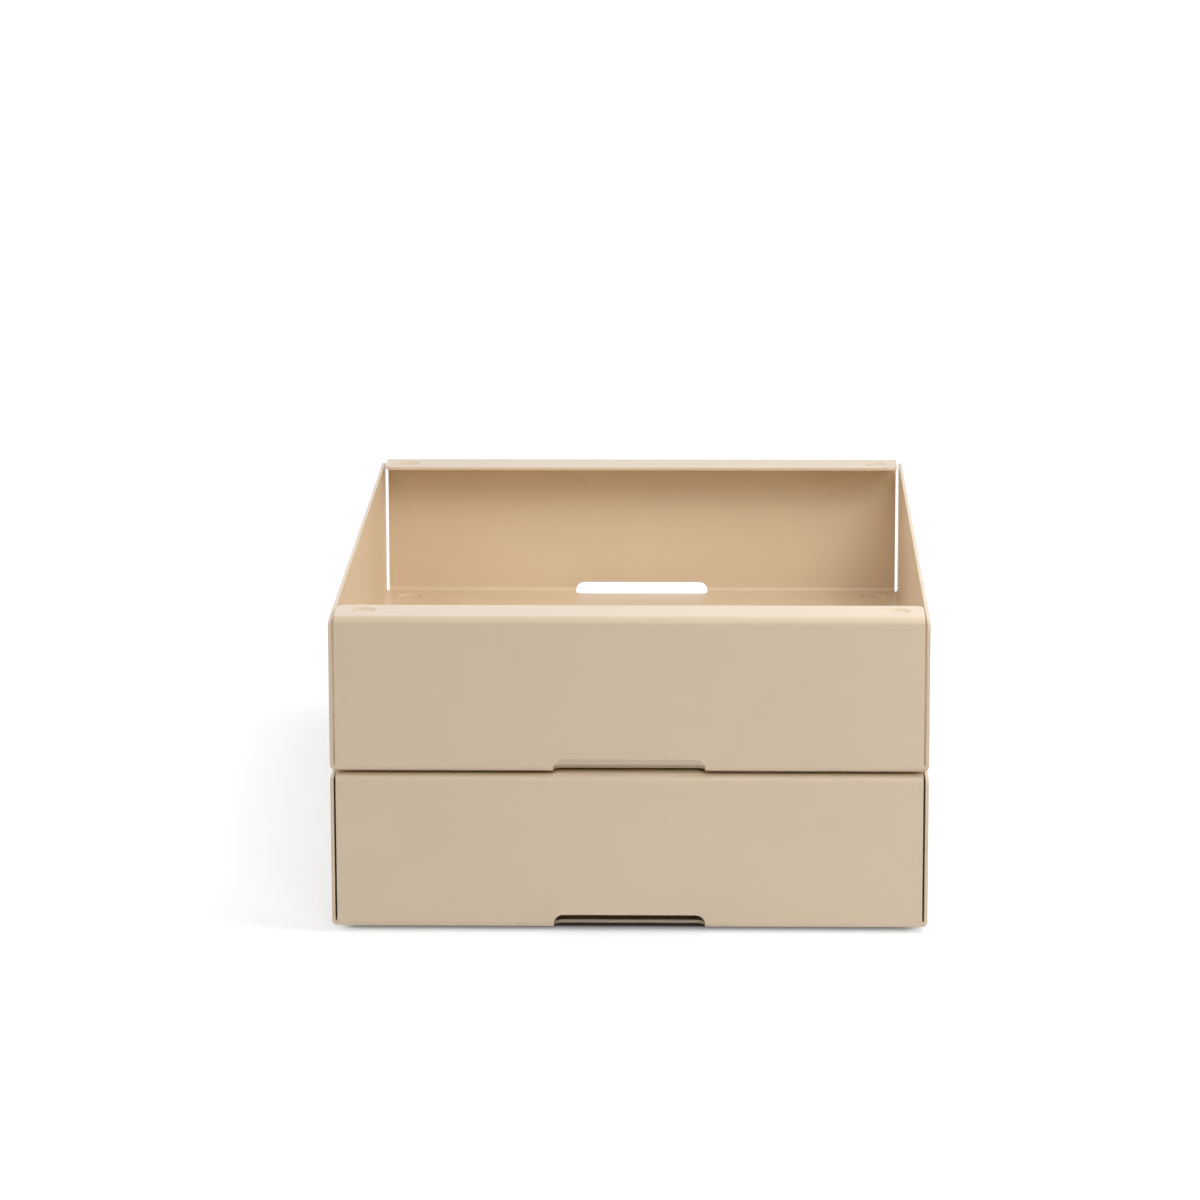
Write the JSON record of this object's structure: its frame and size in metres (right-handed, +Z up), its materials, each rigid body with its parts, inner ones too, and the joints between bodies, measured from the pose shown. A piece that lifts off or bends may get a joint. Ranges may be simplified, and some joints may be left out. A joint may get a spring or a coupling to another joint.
{
  "type": "stackable storage box",
  "caption": "Stack of open-top storage boxes folded from powder-coated steel sheet, with inward lips, finger slots and dishes that seat the feet of the box above.",
  "frame": {"origin": "on the ground under the middle of the stack", "axes": "+Z up, +X to the right as seen from the front, +Y from the front to the back"},
  "size_m": [0.25, 0.35, 0.1357],
  "materials": {
    "powder_coat": "fine matte powder coat, warm sand beige",
    "foot_pad": "soft translucent"
  },
  "bodies": {
    "lower_box": {"lower_box_shell": "powder_coat", "lower_foot_pad_front_left": "foot_pad", "lower_foot_pad_front_right": "foot_pad", "lower_foot_pad_back_left": "foot_pad", "lower_foot_pad_back_right": "foot_pad"},
    "upper_box": {"upper_box_shell": "powder_coat", "upper_foot_pad_front_left": "foot_pad", "upper_foot_pad_front_right": "foot_pad", "upper_foot_pad_back_left": "foot_pad", "upper_foot_pad_back_right": "foot_pad"}
  },
  "joints": [
    {"name": "upper_box_lift", "type": "slide", "parent": "lower_box", "child": "upper_box", "axis": [0, 0, 1], "range_m": [0, 0.12]}
  ]
}
